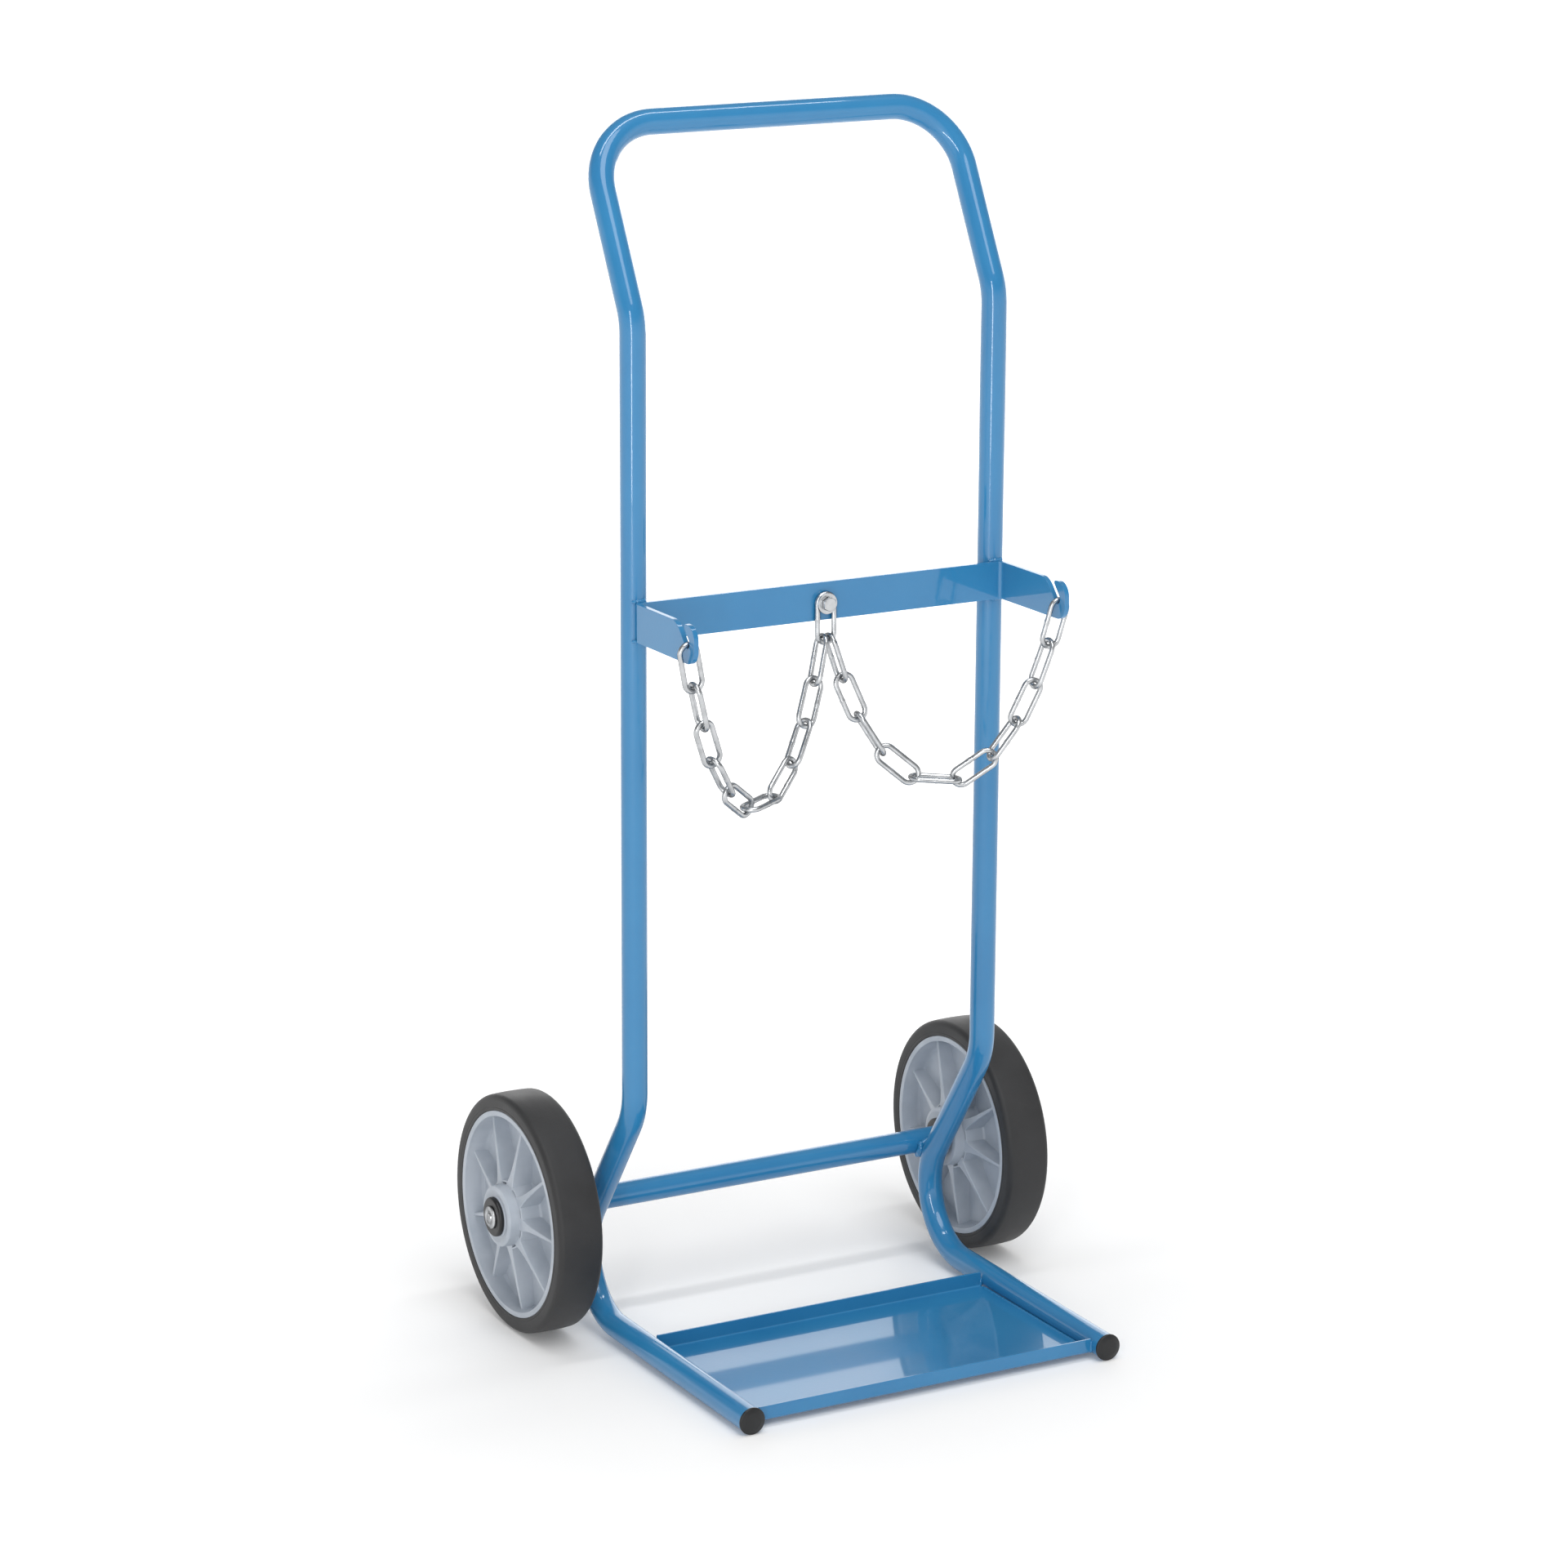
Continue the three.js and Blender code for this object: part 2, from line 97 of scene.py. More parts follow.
# ---- Mesh helpers -------------------------------------------------------------------------
LARGEST_FACE_ONLY = 100
BEVEL_SEGMENTS = 3
JOIN_DISTANCE = 1e-4
# Steps round the small turned pieces, and the arc step of their rounded outlines.
SMALL_STEPS = 48
FINE_ARC = math.radians(12)
# Matrices that turn a prism, drawn in X and Y and filled along Z.
YZ_ALONG_X = Matrix(((0, 0, 1, 0), (1, 0, 0, 0), (0, 1, 0, 0), (0, 0, 0, 1)))
XZ_ALONG_Y = Matrix(((1, 0, 0, 0), (0, 0, 1, 0), (0, 1, 0, 0), (0, 0, 0, 1)))


def flatten_shading(obj):
    """Lets the larger faces set the normals, so a flat sheet reflects as one plane."""
    modifier = obj.modifiers.new("normals", "WEIGHTED_NORMAL")
    modifier.keep_sharp = True
    modifier.weight = LARGEST_FACE_ONLY
    depsgraph = bpy.context.evaluated_depsgraph_get()
    mesh = bpy.data.meshes.new_from_object(obj.evaluated_get(depsgraph))
    obj.modifiers.clear()
    obj.data = mesh


def piece(name, bm, material, slot, replaces=(), body=BODY, smooth=40, sheet=False):
    """Turns a bmesh drawn in millimetres into a finished piece of the cart."""
    bmesh.ops.scale(bm, vec=(MM, MM, MM), verts=bm.verts)
    mesh = bpy.data.meshes.new(name)
    bm.to_mesh(mesh)
    bm.free()
    obj = bpy.data.objects.new(name, mesh)
    bpy.context.scene.collection.objects.link(obj)
    mesh.materials.append(material)
    mesh.shade_smooth()
    mesh.set_sharp_from_angle(angle=math.radians(smooth))
    if sheet:
        flatten_shading(obj)
    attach(obj, body)
    if replaces:
        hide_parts(*replaces)


def rounded(corners, step=math.radians(9)):
    """A closed outline of (u, v, radius) corners, each rounded by its radius."""
    at = [Vector(c[:2]) for c in corners]
    points = []
    for i, here in enumerate(at):
        radius = corners[i][2] if len(corners[i]) > 2 else 0
        if radius == 0:
            points.append(here)
            continue
        back = (at[i - 1] - here).normalized()
        ahead = (at[(i + 1) % len(at)] - here).normalized()
        half = math.acos(max(-1, min(1, back.dot(ahead)))) / 2
        centre = here + (back + ahead).normalized() * (radius / math.sin(half))
        start = here + back * (radius / math.tan(half)) - centre
        cross = ahead.x * back.y - ahead.y * back.x
        turn = math.copysign(math.pi - 2 * half, cross)
        count = max(2, math.ceil(abs(turn) / step))
        for k in range(count + 1):
            points.append(centre + Matrix.Rotation(turn * k / count, 2) @ start)
    return points


def bent_path(corners, step=math.radians(4)):
    """Centre line of a bent tube: straight runs with an arc at each inner corner."""
    at = [Vector(c[:3]) for c in corners]
    path = [at[0]]
    for i in range(1, len(at) - 1):
        back = (at[i - 1] - at[i]).normalized()
        ahead = (at[i + 1] - at[i]).normalized()
        half = back.angle(ahead) / 2
        radius = corners[i][3]
        centre = at[i] + (back + ahead).normalized() * (radius / math.sin(half))
        start = at[i] + back * (radius / math.tan(half)) - centre
        axis = ahead.cross(back).normalized()
        turn = math.pi - 2 * half
        count = math.ceil(turn / step)
        for k in range(count + 1):
            path.append(Matrix.Rotation(turn * k / count, 3, axis) @ start + centre)
    path.append(at[-1])
    return path


def frames_along(path, closed=False):
    """A pair of vectors square to the path at each of its points, turning with it."""
    count = len(path)
    tangents = []
    for i in range(count):
        before = path[i - 1] if closed or i else path[0]
        after = path[(i + 1) % count] if closed or i < count - 1 else path[-1]
        into = (path[i] - before).normalized()
        out = (after - path[i]).normalized()
        tangents.append((into + out).normalized())
    start = Vector((0, 0, 1)) if abs(tangents[0].z) < 0.9 else Vector((1, 0, 0))
    side = tangents[0].cross(start).normalized()
    result = []
    for i, tangent in enumerate(tangents):
        if i:
            turn = tangents[i - 1].rotation_difference(tangent)
            side = (turn @ side).normalized()
        result.append((side, tangent.cross(side).normalized()))
    return result


def add_rings(bm, rings, closed=False):
    """Skins a list of rings of points, and returns the rings' vertices."""
    made = [[bm.verts.new(p) for p in ring] for ring in rings]
    spans = len(made) if closed else len(made) - 1
    for i in range(spans):
        one, two = made[i], made[(i + 1) % len(made)]
        for k in range(len(one)):
            j = (k + 1) % len(one)
            bm.faces.new((one[k], one[j], two[j], two[k]))
    return made


def sweep(bm, path, radius, sides, closed=False, caps=True):
    """A round bar along a path; radius is a number or one number for each point."""
    radii = radius if isinstance(radius, (list, tuple)) else [radius] * len(path)
    rings = []
    for point, (a, b), r in zip(path, frames_along(path, closed), radii):
        rings.append([point + (a * math.cos(t) + b * math.sin(t)) * r
                      for t in (2 * math.pi * k / sides for k in range(sides))])
    made = add_rings(bm, rings, closed)
    if caps and not closed:
        bm.faces.new(reversed(made[0]))
        bm.faces.new(made[-1])
    return made


def tube(name, path, outer, bore, sides, **facts):
    """A tube with a wall and open ends."""
    bm = bmesh.new()
    out = sweep(bm, path, outer, sides, caps=False)
    hole = sweep(bm, path, bore, sides, caps=False)
    for end in (0, -1):
        for k in range(sides):
            j = (k + 1) % sides
            bm.faces.new((out[end][k], hole[end][k], hole[end][j], out[end][j]))
    bmesh.ops.recalc_face_normals(bm, faces=bm.faces)
    piece(name, bm, **facts)


def lathe_into(bm, outline, steps, place=Matrix.Identity(4)):
    """A body turned about X into bm. The outline is (x, r) points round one closed section."""
    rings = []
    for k in range(steps):
        a = 2 * math.pi * k / steps
        rings.append([place @ Vector((p[0], p[1] * math.cos(a), p[1] * math.sin(a)))
                      for p in outline])
    made = add_rings(bm, rings, closed=True)
    bmesh.ops.remove_doubles(bm, verts=[v for ring in made for v in ring], dist=JOIN_DISTANCE)


def lathe(name, outline, steps, place, **facts):
    """A piece of its own turned about X."""
    bm = bmesh.new()
    lathe_into(bm, outline, steps, place)
    bmesh.ops.recalc_face_normals(bm, faces=bm.faces)
    piece(name, bm, **facts)


def prism(outline, low, high, place=Matrix.Identity(4)):
    """A bmesh of an outline in the first two axes, filled between two heights on the third."""
    bm = bmesh.new()
    rings = [[place @ Vector((p[0], p[1], h)) for p in outline] for h in (low, high)]
    made = add_rings(bm, rings)
    bm.faces.new(reversed(made[0]))
    bm.faces.new(made[1])
    bmesh.ops.recalc_face_normals(bm, faces=bm.faces)
    return bm


def scratch_object(bm):
    """An object for a boolean to work on, which carve takes away again."""
    mesh = bpy.data.meshes.new("scratch")
    bm.to_mesh(mesh)
    bm.free()
    obj = bpy.data.objects.new("scratch", mesh)
    bpy.context.scene.collection.objects.link(obj)
    return obj


def carve(base, *cuts, bevel=0.0, angle=30):
    """Applies (operation, bmesh) booleans to a bmesh, then rounds its sharp edges."""
    target = scratch_object(base)
    tools = []
    for operation, bm in cuts:
        tool = scratch_object(bm)
        tools.append(tool)
        modifier = target.modifiers.new("cut", "BOOLEAN")
        modifier.operation = operation
        modifier.solver = "EXACT"
        modifier.object = tool
    if bevel:
        modifier = target.modifiers.new("edge", "BEVEL")
        modifier.width = bevel
        modifier.segments = BEVEL_SEGMENTS
        modifier.limit_method = "ANGLE"
        modifier.angle_limit = math.radians(angle)
    depsgraph = bpy.context.evaluated_depsgraph_get()
    result = bmesh.new()
    result.from_mesh(target.evaluated_get(depsgraph).to_mesh())
    for obj in (target, *tools):
        mesh = obj.data
        bpy.data.objects.remove(obj)
        bpy.data.meshes.remove(mesh)
    return result


# ---- Materials ----------------------------------------------------------------------------
PATCH_DETAIL = 4
PATCH_DARK_BELOW = 0.36
PATCH_LIGHT_ABOVE = 0.64
GRAIN_DETAIL = 2
NOISE_LOW = 0.3
NOISE_HIGH = 0.7
COAT_ROUGHNESS = 0.05
COAT_IOR = 1.8


def linear(r, g, b):
    """An sRGB colour, given as 0 to 255, as a linear colour."""
    def one(c):
        c /= 255
        return c / 12.92 if c <= 0.04045 else ((c + 0.055) / 1.055) ** 2.4
    return one(r), one(g), one(b), 1


def new_material(name):
    """A material, its nodes, its shader and the object's own coordinates."""
    material = bpy.data.materials.new(name)
    material.use_nodes = True
    tree = material.node_tree
    shader = tree.nodes["Principled BSDF"]
    place = tree.nodes.new("ShaderNodeTexCoord")
    return material, tree, shader, place.outputs["Object"]


def noise(tree, where, scale, detail):
    """A noise texture's value, from 0 to 1."""
    texture = tree.nodes.new("ShaderNodeTexNoise")
    texture.inputs["Scale"].default_value = scale
    texture.inputs["Detail"].default_value = detail
    tree.links.new(where, texture.inputs["Vector"])
    return texture.outputs["Fac"]


def ramp(tree, value, stops):
    """A colour ramp over a value from 0 to 1; stops are (place, colour)."""
    node = tree.nodes.new("ShaderNodeValToRGB")
    elements = node.color_ramp.elements
    while len(elements) < len(stops):
        elements.new(0.5)
    for element, (place, colour) in zip(elements, stops):
        element.position = place
        element.color = colour
    tree.links.new(value, node.inputs["Fac"])
    return node.outputs["Color"]


def spread(tree, value, low, high):
    """A noise's usual range spread from low to high."""
    node = tree.nodes.new("ShaderNodeMapRange")
    node.inputs["From Min"].default_value = NOISE_LOW
    node.inputs["From Max"].default_value = NOISE_HIGH
    node.inputs["To Min"].default_value = low
    node.inputs["To Max"].default_value = high
    tree.links.new(value, node.inputs["Value"])
    return node.outputs["Result"]


def bump(tree, shader, height, distance):
    """Puts a height, of so many metres, into a shader's normal."""
    node = tree.nodes.new("ShaderNodeBump")
    node.inputs["Distance"].default_value = distance
    tree.links.new(height, node.inputs["Height"])
    tree.links.new(node.outputs["Normal"], shader.inputs["Normal"])


def surface(name, dark, light, rough, patch_scale, grain_scale, grain_depth, metallic=0.0,
            coat=0.0, sheen=0.0, specular=0.5, edge_shade_tint=1.0):
    """Two tones in soft patches, roughness that varies with them, and a fine grain in relief."""
    material, tree, shader, where = new_material(name)
    patches = noise(tree, where, patch_scale, PATCH_DETAIL)
    tree.links.new(ramp(tree, patches, ((PATCH_DARK_BELOW, dark), (PATCH_LIGHT_ABOVE, light))),
                   shader.inputs["Base Color"])
    tree.links.new(spread(tree, patches, *rough), shader.inputs["Roughness"])
    bump(tree, shader, noise(tree, where, grain_scale, GRAIN_DETAIL), grain_depth)
    shader.inputs["Metallic"].default_value = metallic
    shader.inputs["Coat Weight"].default_value = coat
    shader.inputs["Coat Roughness"].default_value = COAT_ROUGHNESS
    shader.inputs["Coat IOR"].default_value = COAT_IOR
    shader.inputs["Sheen Weight"].default_value = sheen
    shader.inputs["Specular IOR Level"].default_value = specular
    # A tint under 1 darkens a metal's reflection at grazing angles: painted shade, a dark outline
    # along its edges.
    shader.inputs["Specular Tint"].default_value = (edge_shade_tint, edge_shade_tint, edge_shade_tint, 1)
    return material


paint = surface("blue_powder_coat", linear(38, 118, 168), linear(43, 124, 173),
                rough=(0.3, 0.4), patch_scale=9, grain_scale=260, grain_depth=0.00006,
                coat=0.55, specular=0.2)
# The zinc's low edge tint paints dark shade along the edges of the wires, bolt, nut, washer and
# caps.
zinc = surface("zinc_plating", linear(182, 184, 186), linear(201, 203, 205),
               rough=(0.24, 0.32), patch_scale=110, grain_scale=900, grain_depth=0.00001,
               metallic=1.0, edge_shade_tint=0.1)
rim_plastic = surface("rim_plastic", linear(166, 174, 184), linear(181, 188, 197),
                      rough=(0.38, 0.5), patch_scale=26, grain_scale=700,
                      grain_depth=0.00006, specular=0.45)
rubber = surface("tyre_rubber", linear(39, 39, 40), linear(47, 47, 48),
                 rough=(0.5, 0.66), patch_scale=18, grain_scale=620, grain_depth=0.00012,
                 sheen=0.06, specular=0.4)
black_plastic = surface("black_plastic", linear(17, 18, 20), linear(26, 27, 29),
                        rough=(0.32, 0.46), patch_scale=60, grain_scale=1100,
                        grain_depth=0.00005)

PAINT = {"material": paint, "slot": "blue_paint"}
ZINC = {"material": zinc, "slot": "zinc"}
GREY = {"material": rim_plastic, "slot": "grey_plastic"}
RUBBER = {"material": rubber, "slot": "tyre"}
BLACK = {"material": black_plastic, "slot": "black_plastic"}


# ---- Welded frame -------------------------------------------------------------------------
TUBE_SIDES = 40


def frame_path():
    """The whole frame's centre line: the right half's corners, and their mirror before them."""
    left = [(-x, y, z, r) for x, y, z, r in FRAME_CORNERS]
    return bent_path(left + list(reversed(FRAME_CORNERS)))


tube("frame_bent_tube", frame_path(), TUBE_R, TUBE_BORE, TUBE_SIDES, replaces=("frame_tube",),
     **PAINT)
tube("axle_cross_tube", [Vector((x, AXLE_Y, AXLE_Z)) for x in (-CROSS_HALF, CROSS_HALF)],
     CROSS_R, CROSS_BORE, TUBE_SIDES, replaces=("cross_tube",), **PAINT)


def tray():
    """One folded sheet with a lip at its front and its rear."""
    under = TRAY_TOP - TRAY_SHEET
    section = rounded((
        (TRAY_FRONT, under, TRAY_FOLD_OUTER), (TRAY_REAR, under, TRAY_FOLD_OUTER),
        (TRAY_REAR, TRAY_REAR_LIP), (TRAY_REAR - TRAY_SHEET, TRAY_REAR_LIP),
        (TRAY_REAR - TRAY_SHEET, TRAY_TOP, TRAY_FOLD_INNER),
        (TRAY_FRONT + TRAY_SHEET, TRAY_TOP, TRAY_FOLD_INNER),
        (TRAY_FRONT + TRAY_SHEET, TRAY_FRONT_LIP), (TRAY_FRONT, TRAY_FRONT_LIP)))
    body = prism(section, -TRAY_HALF, TRAY_HALF, YZ_ALONG_X)
    # The rear lip's corners are cut off at a slant, by prisms that stand clear of the sheet.
    cuts = []
    for sign in (-1, 1):
        corner = [(sign * (TRAY_HALF + CUT_CLEAR), TRAY_REAR_LIP + CUT_CLEAR),
                  (sign * (TRAY_HALF - LIP_CORNER), TRAY_REAR_LIP + CUT_CLEAR),
                  (sign * (TRAY_HALF + CUT_CLEAR), TRAY_REAR_LIP - LIP_CORNER)]
        cutter = prism(corner, TRAY_REAR - 2 * TRAY_SHEET, TRAY_REAR + TRAY_SHEET, XZ_ALONG_Y)
        cuts.append(("DIFFERENCE", cutter))
    body = carve(body, *cuts, bevel=SHEET_EDGE, angle=50)
    piece("tray_sheet", body, replaces=("tray",), sheet=True, **PAINT)


def bracket():
    """A U of flat bar, cut to the side view of its arms, with their hook slots."""
    inner = BAR_HALF - BAR_T
    front = BAR_BACK - BAR_T
    past_tip = ARM_TIP - 2 * CUT_CLEAR
    plan = rounded((
        (BAR_HALF, past_tip), (BAR_HALF, BAR_BACK, BAR_BEND),
        (-BAR_HALF, BAR_BACK, BAR_BEND), (-BAR_HALF, past_tip), (-inner, past_tip),
        (-inner, front, BAR_BEND - BAR_T), (inner, front, BAR_BEND - BAR_T),
        (inner, past_tip)))
    up = Vector((math.sin(SLOT_LEAN), math.cos(SLOT_LEAN)))
    across = Vector((-up.y, up.x)) * SLOT_HALF
    end = Vector(SLOT_END) - up * SLOT_HALF
    fore, rear = end + across, end - across

    def mouth(p):
        """Where the slot's side through p comes out at the top edge."""
        return p.x + (BAR_TOP - p.y) * up.x / up.y

    # A hair under the half width, so the slot's two rounded corners don't meet in one point.
    round_end = SLOT_HALF - 0.01
    profile = rounded((
        (BAR_BACK + CUT_CLEAR, BAR_BOTTOM), (BAR_BACK + CUT_CLEAR, BAR_TOP),
        (mouth(rear), BAR_TOP, MOUTH_REAR_ROUND), (rear.x, rear.y, round_end),
        (fore.x, fore.y, round_end), (mouth(fore), BAR_TOP, MOUTH_FORE_ROUND),
        (ARM_TIP, BAR_TOP, TIP_TOP_ROUND), (ARM_TIP, BAR_BOTTOM, TIP_BOTTOM_ROUND)))
    hole = [(BOLT_HOLE_R * math.cos(a), BOLT_Z + BOLT_HOLE_R * math.sin(a))
            for a in (2 * math.pi * k / 32 for k in range(32))]
    reach = BAR_HALF + CUT_CLEAR
    side_view = prism(profile, -reach, reach, YZ_ALONG_X)
    bolt_hole = prism(hole, front - 4 * CUT_CLEAR, BAR_BACK + 4 * CUT_CLEAR, XZ_ALONG_Y)
    solid = carve(prism(plan, BAR_BOTTOM - CUT_CLEAR, BAR_TOP + CUT_CLEAR),
                  ("INTERSECT", side_view), ("DIFFERENCE", bolt_hole),
                  bevel=BAR_EDGE, angle=40)
    piece("hook_bracket", solid, replaces=("chain_bracket",), sheet=True, **PAINT)


tray()
bracket()


# ---- Welds --------------------------------------------------------------------------------
BEAD_SIDES = 12
# Where the centre lines of an upright and a leg pass, at the bar and at the axle.
UPRIGHT_Y_AT_BAR = -1.7
LEG_X_AT_AXLE = 205.1
# The beads' radii: at the bar, round the touching spot, down the leg, at the lips, at the side.
BAR_BEAD = 2.1
SPOT_BEAD = 2.9
LEG_BEAD = 3.0
LIP_BEAD = 1.9
SEAM_BEAD = 1.7
# Half the width and half the length of the touching spot, and where the leg's runs stand.
SPOT_HALF_WIDTH = 11
SPOT_HALF_LENGTH = 10
LEG_RUN_X = 9.6


def bead(name, path, radius, closed=False):
    """A painted weld: a lumpy round bar with ripples a few millimetres apart."""
    length = 0.0
    radii = []
    for i, point in enumerate(path):
        length += (point - path[i - 1]).length if i else 0
        fine = 0.12 * math.sin(length * 2.4)
        coarse = 0.07 * math.sin(length * 0.93 + point.x)
        # An open bead grows from under half its size at each end.
        from_end = len(path) if closed else min(i, len(path) - 1 - i)
        radii.append(radius * (1 + fine + coarse) * min(1, 0.45 + 0.2 * from_end))
    bm = bmesh.new()
    sweep(bm, path, radii, BEAD_SIDES, closed)
    bmesh.ops.recalc_face_normals(bm, faces=bm.faces)
    piece(name, bm, smooth=80, **PAINT)


def straight(start, end, count):
    """Evenly spaced points from start to end."""
    return [Vector(start).lerp(Vector(end), k / (count - 1)) for k in range(count)]


def swing(degrees, count):
    """Evenly spaced angles from one side to the other, in radians."""
    return [math.radians(-degrees + 2 * degrees * k / (count - 1)) for k in range(count)]


def bar_welds(side, sign):
    """Where an upright stands behind the bar, along the bar's top and bottom edges."""
    for where, z in (("top", BAR_TOP + BAR_EDGE), ("bottom", BAR_BOTTOM - BAR_EDGE)):
        path = [Vector((sign * UPRIGHT_X + (TUBE_R + 0.6) * math.sin(a),
                        UPRIGHT_Y_AT_BAR - (TUBE_R + 0.2) * math.cos(a), z))
                for a in swing(34, 25)]
        bead(f"{side}_bar_weld_{where}", path, BAR_BEAD)


def leg_welds(side, sign):
    """Round the spot where the cross tube touches a leg, and down both sides of the leg."""
    along_leg = Vector((0, -0.45, 0.89)).normalized()
    rearward = Vector((0, 0.89, 0.45)).normalized()
    middle = Vector((sign * LEG_X_AT_AXLE, AXLE_Y, AXLE_Z))
    path = []
    for k in range(56):
        a = 2 * math.pi * k / 56
        x, u = SPOT_HALF_WIDTH * math.cos(a), SPOT_HALF_LENGTH * math.sin(a)
        # Both tubes fall away from the touching spot, each in its own direction.
        depth = (u * u - x * x) / (4 * CROSS_R)
        path.append(middle + Vector((x, 0, 0)) + along_leg * u + rearward * (depth - CROSS_R))
    bead(f"{side}_leg_weld", path, SPOT_BEAD, closed=True)
    for where, way in (("inner", -1), ("outer", 1)):
        offset = Vector((sign * way * LEG_RUN_X, 0, 0))
        path = []
        for a in swing(44, 29):
            # The run stands off the cross tube most at its middle, where the leg is closest.
            reach = CROSS_R + 1.2 + 2.4 * math.cos(a * 1.8) ** 2
            path.append(middle + offset
                        + (along_leg * math.sin(a) - rearward * math.cos(a)) * reach)
        bead(f"{side}_leg_weld_{where}", path, LEG_BEAD)


def tray_welds(side, sign):
    """Where the tray's lips and its side meet a foot."""
    x = sign * (TRAY_HALF + 0.4)
    front = TRAY_FRONT + TRAY_SHEET / 2
    rear = TRAY_REAR - TRAY_SHEET / 2
    low, front_top, rear_top, seam_z = 7, 20, 17, 8.3
    bead(f"{side}_tray_weld_front", straight((x, front, low), (x, front, front_top), 18),
         LIP_BEAD)
    bead(f"{side}_tray_weld_rear", straight((x, rear, low), (x, rear, rear_top), 15), LIP_BEAD)
    seam = straight((x, front + 4, seam_z), (x, rear - 4, seam_z), 150)
    bead(f"{side}_tray_seam", seam, SEAM_BEAD)


for welds in (bar_welds, leg_welds, tray_welds):
    for side, sign in SIDES:
        welds(side, sign)


# ---- Feet ---------------------------------------------------------------------------------
PLUG_DEPTH = 18.0
PLUG_R = 10.4
PLUG_HEAD = 4.0
PLUG_HEAD_R = 14.0
PLUG_GAP = 0.3


def foot_plug(side, sign):
    """A plug pushed into a foot, with a domed head over the tube's end."""
    foot_x, foot_y, foot_z, _ = FRAME_CORNERS[0]
    outline = rounded(((-PLUG_DEPTH, 0), (-PLUG_DEPTH, PLUG_R, 0.8), (0, PLUG_R),
                       (0, PLUG_HEAD_R, 0.5), (2.2, PLUG_HEAD_R, 1.4),
                       (PLUG_HEAD, 8.5, 5), (PLUG_HEAD, 0)), step=FINE_ARC)
    place = (Matrix.Translation((sign * foot_x, foot_y - PLUG_GAP, foot_z))
             @ Matrix.Rotation(-math.pi / 2, 4, "Z"))
    lathe(f"{side}_foot_end_plug", outline, SMALL_STEPS, place,
          replaces=(f"{side}_foot_plug",), **BLACK)


for side, sign in SIDES:
    foot_plug(side, sign)


# ---- Bolt ---------------------------------------------------------------------------------
# Y of the front of each piece on the bolt, and its length.
SLEEVE = (-26.1, 5.7)
WASHER = (-27.9, 1.6)
HEAD = (-33.4, 5.3)
NUT = (-14.9, 6.5)
SHANK_END = -6.9
SHANK_R = 4.0
BOLT_BORE = 4.3
SLEEVE_R = 6.1
WASHER_R = 10.8
ACROSS_FLATS = 13.0
HEX_CHAMFER = 1.1
HEX_FACE_R = 6.2
HEX_EDGE = 0.25
TO_Y = Matrix.Rotation(math.pi / 2, 4, "Z")


def on_bolt(front):
    """Puts a piece drawn from 0 towards +X on the bolt, from its front towards the rear."""
    return Matrix.Translation((0, front, BOLT_Z)) @ TO_Y


def turned_body(outline, steps):
    """A bmesh turned about X, to carve with."""
    bm = bmesh.new()
    lathe_into(bm, outline, steps)
    bmesh.ops.recalc_face_normals(bm, faces=bm.faces)
    return bm


def hexagon(height, *cuts, chamfer_both):
    """A hexagon along X, with its corners turned off at one end or both."""
    corner = ACROSS_FLATS / math.sqrt(3)
    outline = [(corner * math.cos(a), corner * math.sin(a))
               for a in (math.pi * k / 3 + math.pi / 6 for k in range(6))]
    # The turned body that trims the corners stands a hair past both ends.
    past, clear_r = 0.01, corner + 1
    far_end = [(height + past, clear_r)]
    if chamfer_both:
        far_end = [(height - HEX_CHAMFER, clear_r), (height + past, HEX_FACE_R)]
    trim = turned_body([(-past, 0), (-past, HEX_FACE_R), (HEX_CHAMFER, clear_r), *far_end,
                        (height + past, 0)], SMALL_STEPS)
    return carve(prism(outline, 0, height, YZ_ALONG_X), ("INTERSECT", trim), *cuts,
                 bevel=HEX_EDGE, angle=25)


def sleeve_and_washer():
    front, length = SLEEVE
    ring = rounded(((0, BOLT_BORE, 0.3), (0, SLEEVE_R, 0.3), (length, SLEEVE_R, 0.3),
                    (length, BOLT_BORE, 0.3)))
    lathe("bolt_sleeve", ring, 40, on_bolt(front), replaces=("chain_sleeve",), **ZINC)
    front, length = WASHER
    ring = rounded(((0, BOLT_BORE, 0.2), (0, WASHER_R, 0.5), (length, WASHER_R, 0.3),
                    (length, BOLT_BORE, 0.2)), math.radians(18))
    lathe("bolt_washer", ring, 56, on_bolt(front), replaces=("chain_washer",), **ZINC)


def bolt():
    front, height = HEAD
    head = hexagon(height, chamfer_both=False)
    # The shank starts a little inside the head.
    inside, end = height - 0.5, SHANK_END - front
    lathe_into(head, rounded(((inside, 0), (inside, SHANK_R), (end, SHANK_R, 0.8),
                              (end, 0))), 32)
    bmesh.ops.transform(head, matrix=on_bolt(front), verts=head.verts)
    bmesh.ops.recalc_face_normals(head, faces=head.faces)
    piece("hexagon_bolt", head, replaces=("chain_bolt",), smooth=28, **ZINC)


def nut():
    front, height = NUT
    bore = turned_body([(-1, 0), (-1, BOLT_BORE), (height + 1, BOLT_BORE), (height + 1, 0)], 32)
    body = hexagon(height, ("DIFFERENCE", bore), chamfer_both=True)
    bmesh.ops.transform(body, matrix=on_bolt(front), verts=body.verts)
    piece("hexagon_nut", body, replaces=("chain_nut",), smooth=28, **ZINC)


sleeve_and_washer()
bolt()
nut()


# ---- Chain --------------------------------------------------------------------------------
LINK_ARC_STEPS = 16
LINK_SIDES = 16
# Places down a link's straight side, closer together at the weld in its middle.
HALF_SIDE = (0.8, 0.55, 0.3, 0.16, 0.07)
WELD_SWELL = 0.1
WELD_REACH = 1.6
HOOK_LINK = 10


